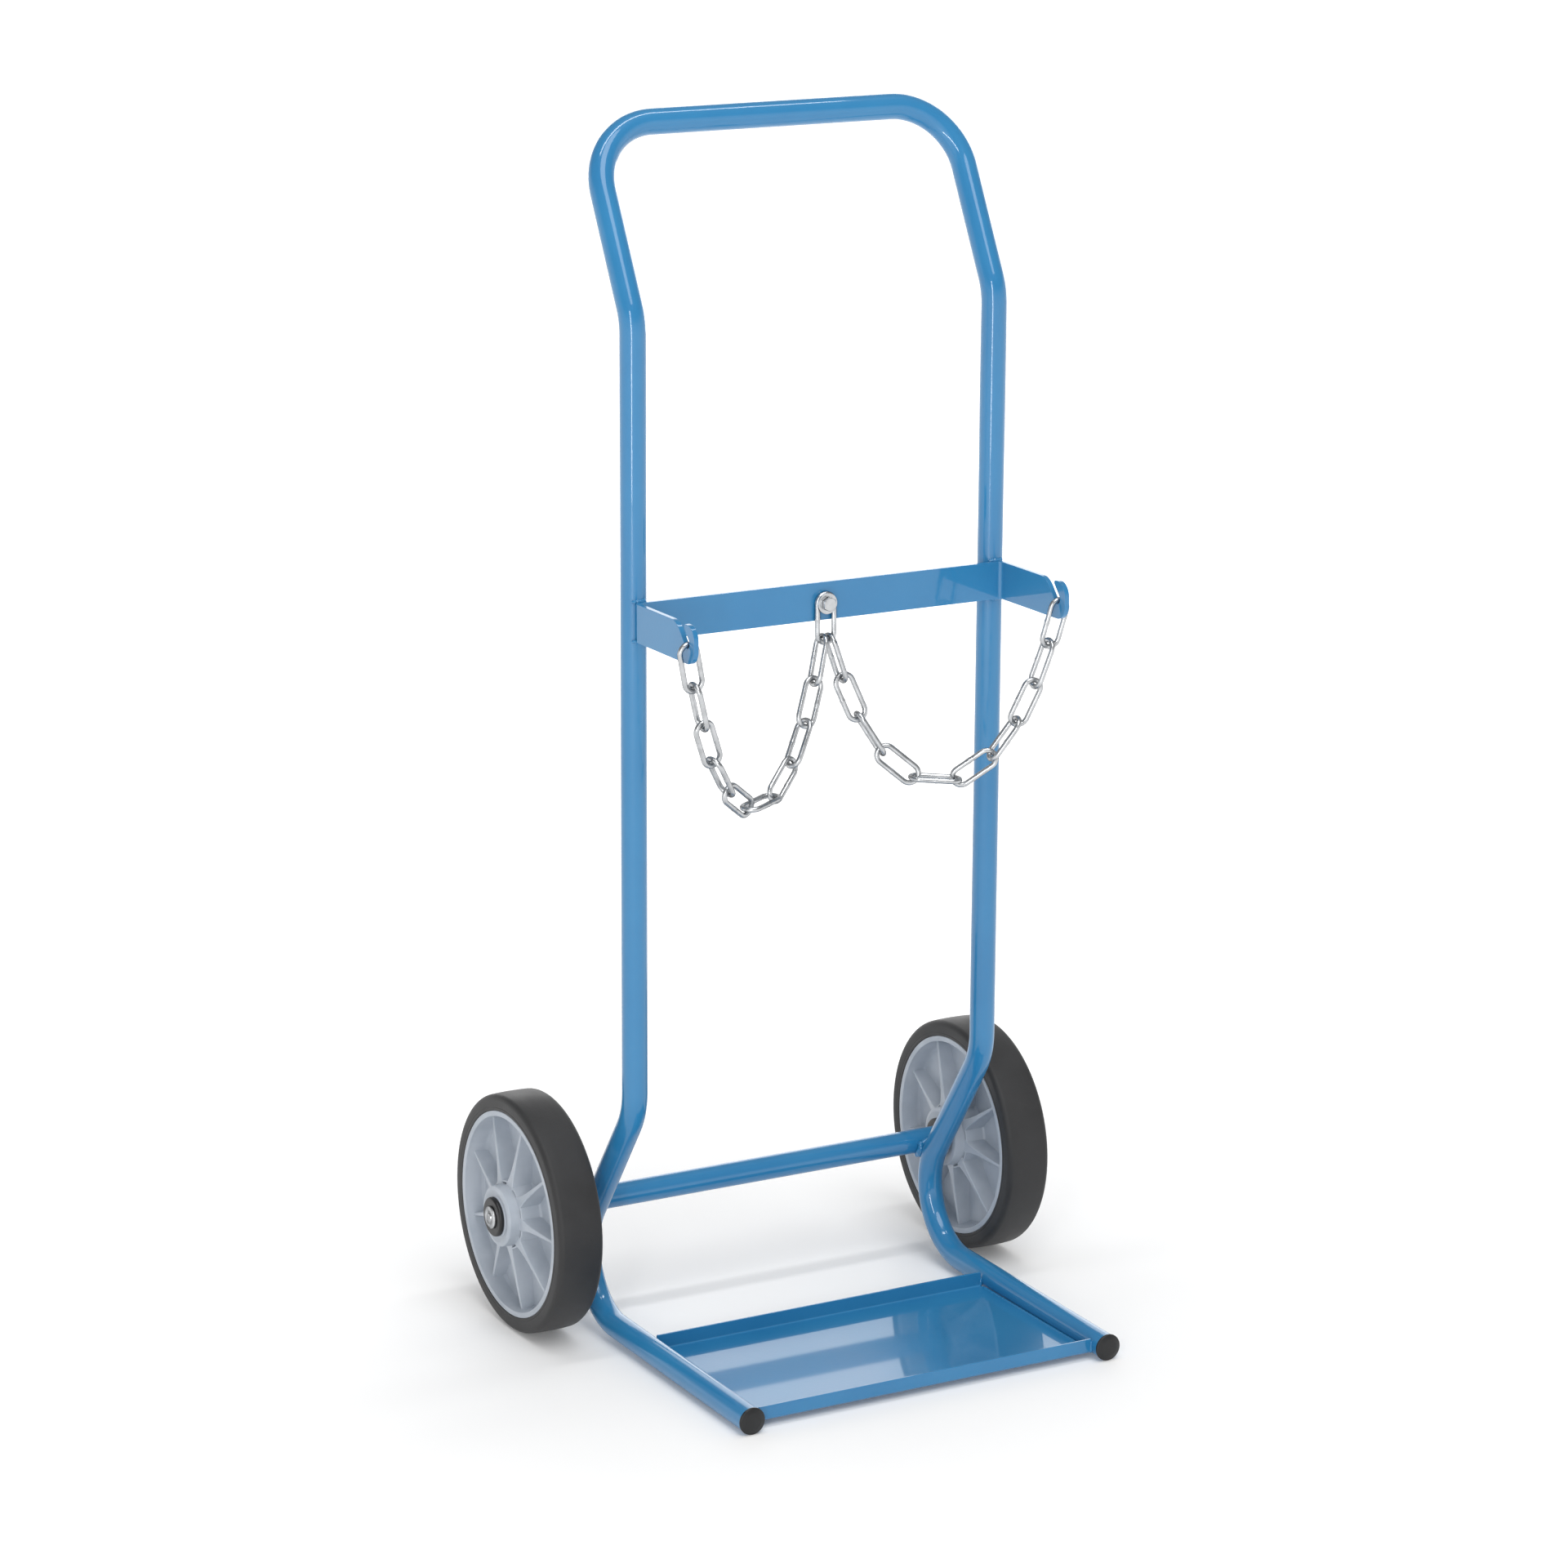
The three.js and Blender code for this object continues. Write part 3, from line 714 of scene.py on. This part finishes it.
def link_bmesh():
    """A link in XZ, longer along Z, with the swelling of its weld in the middle of one side."""
    bend = LINK_HALF_WIDTH
    straight_half = LINK_HALF_LENGTH - bend
    path = []
    radii = []
    for end in (1, -1):
        for k in range(LINK_ARC_STEPS + 1):
            a = math.pi * k / LINK_ARC_STEPS
            path.append(Vector((end * bend * math.cos(a), 0,
                                end * (straight_half + bend * math.sin(a)))))
            radii.append(WIRE / 2)
        # After the arc, down or up the straight side to the next one.
        for step in (*HALF_SIDE, 0, *(-s for s in reversed(HALF_SIDE))):
            from_weld = step * straight_half
            path.append(Vector((-end * bend, 0, end * from_weld)))
            swell = WELD_SWELL * math.exp(-((from_weld / WELD_REACH) ** 2)) if end > 0 else 0
            radii.append(WIRE / 2 * (1 + swell))
    bm = bmesh.new()
    sweep(bm, path, radii, LINK_SIDES, closed=True)
    bmesh.ops.recalc_face_normals(bm, faces=bm.faces)
    return bm


def link_place(node):
    """A link's place from its CAD solid: its middle, and its width, thickness and length."""
    points = np.array([v.co[:] for v in nodes[node].data.vertices]) / MM
    low, high = points.min(axis=0), points.max(axis=0)
    _, vectors = np.linalg.eigh(np.cov((points - points.mean(axis=0)).T))
    length, wide = Vector(vectors[:, 2]), Vector(vectors[:, 1])
    if length.z < 0:
        length.negate()
    matrix = Matrix((wide, length.cross(wide), length)).transposed().to_4x4()
    return Matrix.Translation((Vector(low) + Vector(high)) / 2) @ matrix


def chain():
    links = [("middle_link", BODY)]
    for side, _ in SIDES:
        links += [(f"{side}_link_{k:02d}", f"{side}_chain") for k in range(1, HOOK_LINK)]
        links.append((f"{side}_link_{HOOK_LINK}", f"{side}_hook_link"))
    for node, body in links:
        bm = link_bmesh()
        bmesh.ops.transform(bm, matrix=link_place(node), verts=bm.verts)
        piece(f"{node}_wire", bm, replaces=(node,), body=body, smooth=60, **ZINC)


chain()


# ---- Wheels -------------------------------------------------------------------------------
WHEEL_STEPS = 120
RIB_COUNT = 9
# How far each wheel stands turned, in degrees.
FIRST_RIB = {"left": 12, "right": 16}
# Stations along a rib: distance from the axle, width, and its edge's distance from mid-wheel.
RIB_STATIONS = ((28, 15.0, 25.5), (34, 13.6, 25.2), (38, 10.8, 24.6), (43, 8.4, 23.8),
                (50, 6.6, 22.8), (60, 5.2, 21.5), (73, 4.1, 20.0), (88, 3.4, 18.2),
                (100, 3.2, 16.8), (103, 5.0, 16.5))
RIB_FOOT = 1.5
RIB_FLARE = 0.6
RIB_EDGE = 0.7
BUSH_X = 37.8
BUSH_BORE = 10.3
BUSH_R = 14.0
BUSH_DEPTH = 22.0
FLANGE = 4.7
FLANGE_R = 20.5


def tyre(side, place):
    """A tyre, from half its section as (x, radius, rounding) and the mirror of that half."""
    half = ((24.6, 108.0, 0.5), (24.8, 110.6, 0.8), (24.45, 111.4, 0.8), (24.75, 112.4, 2),
            (24.8, 124.1, 6.2), (12, 124.8, 30))
    mirrored = tuple((-x, r, f) for x, r, f in half)
    tread_middle = (0, 125.0, 40)
    outline = rounded((*mirrored, tread_middle, *half[::-1]), step=math.radians(10))
    lathe(f"{side}_tyre_tread", outline, WHEEL_STEPS, place, replaces=(f"{side}_tyre",),
          body=f"{side}_wheel", smooth=50, **RUBBER)


def rib(angle, sign):
    """One rib on one face: wide at the hub, thin at the rim, its edge falling towards the rim."""
    turn = Matrix.Rotation(angle, 3, "X")
    rings = []
    for r, width, top in RIB_STATIONS:
        half = width / 2
        foot = half + RIB_FLARE
        section = ((-foot, RIB_FOOT), (foot, RIB_FOOT), (half, top - RIB_EDGE),
                   (half - RIB_EDGE, top), (-half + RIB_EDGE, top), (-half, top - RIB_EDGE))
        rings.append([turn @ Vector((sign * x, w, r)) for w, x in section])
    return rings


def rim(side, place):
    """A rim, from half its section as (x, radius, rounding), the mirror of it, and the ribs."""
    half = ((24.5, 107.7, 0.7), (24.5, 102.0, 0.9), (6, 100.2, 2.5), (2.5, 98.5, 1.2),
            (2.5, 38, 2.5), (5, 36.8, 1), (24.8, 36.0, 0.8), (25.2, 34.3, 0.4),
            (19, 34.1, 0.2), (19, 32.6, 0.2), (36.2, 31.6, 1.8), (37.5, 27.5, 2),
            (36.6, 23, 2), (36.6, 21.8, 0.3), (37.5, 21.0, 0.3), (37.5, 14.3, 0.5))
    mirrored = tuple((-x, r, f) for x, r, f in reversed(half))
    bm = bmesh.new()
    lathe_into(bm, rounded(half + mirrored, step=math.radians(15)), WHEEL_STEPS)
    for k in range(RIB_COUNT):
        for sign in (-1, 1):
            angle = math.radians(FIRST_RIB[side] + k * 360 / RIB_COUNT)
            made = add_rings(bm, rib(angle, sign))
            bm.faces.new(made[0])
            bm.faces.new(made[-1])
    bmesh.ops.transform(bm, matrix=place, verts=bm.verts)
    bmesh.ops.recalc_face_normals(bm, faces=bm.faces)
    piece(f"{side}_rim_moulding", bm, replaces=(f"{side}_rim",), body=f"{side}_wheel", **GREY)


def bush(name, node, place, body):
    """A flanged bush, pushed into the hub from one side."""
    outline = rounded(((-BUSH_DEPTH, BUSH_BORE), (-BUSH_DEPTH, BUSH_R, 0.8), (0, BUSH_R),
                       (0, FLANGE_R, 0.5), (FLANGE, FLANGE_R, 2.4),
                       (FLANGE, BUSH_BORE, 0.9)), step=FINE_ARC)
    lathe(name, outline, 56, place, replaces=(node,), body=body, **BLACK)


def axle_cap(side, place):
    """A pressed push-on cap: a cup with a round shoulder, and a button standing in a groove.

    Its x is measured from the middle of the axle.
    """
    outline = rounded(((309.3, 0), (309.3, 10.3, 0.3), (307.6, 10.3, 0.3), (307.6, 11.8, 0.4),
                       (309.5, 11.8, 0.8), (310.4, 9.4, 1.8), (310.3, 7.2, 0.6),
                       (309.5, 6.2, 0.3), (309.5, 5.4, 0.2), (310.8, 4.7, 0.8),
                       (311.0, 2.5, 2), (311.0, 0)), step=FINE_ARC)
    lathe(f"{side}_push_cap", outline, SMALL_STEPS, place, replaces=(f"{side}_axle_cap",),
          **ZINC)


def facing(sign):
    """A turn that points a piece drawn towards +X to the right or the left."""
    return Matrix.Rotation(0 if sign > 0 else math.pi, 4, "Z")


def wheel(side, sign):
    axle = Matrix.Translation((0, AXLE_Y, AXLE_Z))
    centre = Matrix.Translation((sign * WHEEL_X, AXLE_Y, AXLE_Z))
    tyre(side, centre)
    rim(side, centre)
    axle_cap(side, axle @ facing(sign))
    for where, end in (("outer", sign), ("inner", -sign)):
        place = centre @ Matrix.Translation((end * BUSH_X, 0, 0)) @ facing(end)
        bush(f"{side}_{where}_hub_bush", f"{side}_{where}_bush", place, f"{side}_wheel")


for side, sign in SIDES:
    wheel(side, sign)

nodes["axle_rod"].data.materials.clear()
nodes["axle_rod"].data.materials.append(zinc)


# ---- Stage, in metres ---------------------------------------------------------------------
FLOOR_HALF = 40
# The two tones of the floor's soft patches.
FLOOR_DARK = 0.86
FLOOR_LIGHT = 0.88
# The floor's own glow at distances from the cart: dim under and round the cart as a painted
# shadow, and paler further away.
FLOOR_GLOW_AND_SHADOW = ((0.25, 0.08), (1.0, 0.36), (2.5, 0.36), (4.4, 0.65))
GLOW_REACH = 10
# The sky's strength at heights over the horizon: palest just above the floor.
SKY_GLOW = ((0.1, 1.0), (0.3, 0.31))
SUN_FROM = (-0.1, -0.75, 1.2)
SUN_STRENGTH = 1.1
SUN_ANGLE = math.radians(38)
LIT_SPOT = (0, 0, 0.6)
# Soft boxes: name, place, width and height, and power.
AREA_LIGHTS = (
    ("strip_front", (-2.75, -3.3, 1.5), (0.4, 3.0), 52),
    ("strip_top", (0, -0.1, 3.9), (3.2, 0.35), 34),
    ("back_wall", (2.6, 3.8, 1.7), (5.2, 3), 90),
)
CAMERA_PLACE = (-2.2966, -4.0742, 1.7870)
CAMERA_TARGET = (0, 0.125, 0.550)
SENSOR = 36
LENS = 109.83
SHIFT = (0.0190, -0.0025)
CLIP_END = 200


def grey(level):
    return level, level, level, 1


def floor_material():
    material, tree, shader, where = new_material("studio_floor")
    soft = noise(tree, where, scale=1.5, detail=2)
    tones = ((NOISE_LOW, grey(FLOOR_DARK)), (NOISE_HIGH, grey(FLOOR_LIGHT)))
    tree.links.new(ramp(tree, soft, tones), shader.inputs["Base Color"])
    shader.inputs["Roughness"].default_value = 0.9
    shader.inputs["Specular IOR Level"].default_value = 0.1
    shader.inputs["Emission Color"].default_value = grey(1)
    distance = tree.nodes.new("ShaderNodeVectorMath")
    distance.operation = "LENGTH"
    tree.links.new(where, distance.inputs[0])
    # The ramp runs from 0 to 1, so the distance is taken as a part of its whole reach.
    part = tree.nodes.new("ShaderNodeMath")
    part.operation = "MULTIPLY"
    part.inputs[1].default_value = 1 / GLOW_REACH
    tree.links.new(distance.outputs["Value"], part.inputs[0])
    # The low glow near the cart paints the cart's soft shadow on the floor; further out the floor
    # glows paler.
    stops = [(r / GLOW_REACH, grey(glow)) for r, glow in FLOOR_GLOW_AND_SHADOW]
    tree.links.new(ramp(tree, part.outputs["Value"], stops),
                   shader.inputs["Emission Strength"])
    return material


def floor():
    mesh = bpy.data.meshes.new("floor")
    half = FLOOR_HALF
    mesh.from_pydata([(-half, -half, 0), (half, -half, 0), (half, half, 0), (-half, half, 0)],
                     [], [(0, 1, 2, 3)])
    mesh.materials.append(floor_material())
    obj = bpy.data.objects.new("floor", mesh)
    bpy.context.scene.collection.objects.link(obj)


def aimed(name, data, direction):
    """An object for a light or a camera, looking in a direction."""
    obj = bpy.data.objects.new(name, data)
    obj.rotation_euler = direction.to_track_quat("-Z", "Y").to_euler()
    bpy.context.scene.collection.objects.link(obj)
    return obj


def sky():
    world = bpy.data.worlds.new("studio")
    world.use_nodes = True
    tree = world.node_tree
    background = tree.nodes["Background"]
    background.inputs["Color"].default_value = grey(1)
    height = tree.nodes.new("ShaderNodeSeparateXYZ")
    tree.links.new(tree.nodes.new("ShaderNodeTexCoord").outputs["Generated"],
                   height.inputs["Vector"])
    stops = [(place, grey(glow)) for place, glow in SKY_GLOW]
    tree.links.new(ramp(tree, height.outputs["Z"], stops), background.inputs["Strength"])
    bpy.context.scene.world = world


def lights():
    sun = bpy.data.lights.new("sky_panel", "SUN")
    sun.energy = SUN_STRENGTH
    sun.angle = SUN_ANGLE
    aimed("sky_panel", sun, -Vector(SUN_FROM))
    for name, place, size, power in AREA_LIGHTS:
        data = bpy.data.lights.new(name, "AREA")
        data.shape = "RECTANGLE"
        data.size, data.size_y = size
        data.energy = power
        aimed(name, data, Vector(LIT_SPOT) - Vector(place)).location = place


def camera():
    data = bpy.data.cameras.new("camera")
    data.sensor_width = SENSOR
    data.lens = LENS
    data.shift_x, data.shift_y = SHIFT
    data.clip_end = CLIP_END
    obj = aimed("camera", data, Vector(CAMERA_TARGET) - Vector(CAMERA_PLACE))
    obj.location = CAMERA_PLACE
    bpy.context.scene.camera = obj


floor()
sky()
lights()
camera()
bpy.context.scene.view_settings.view_transform = "Standard"
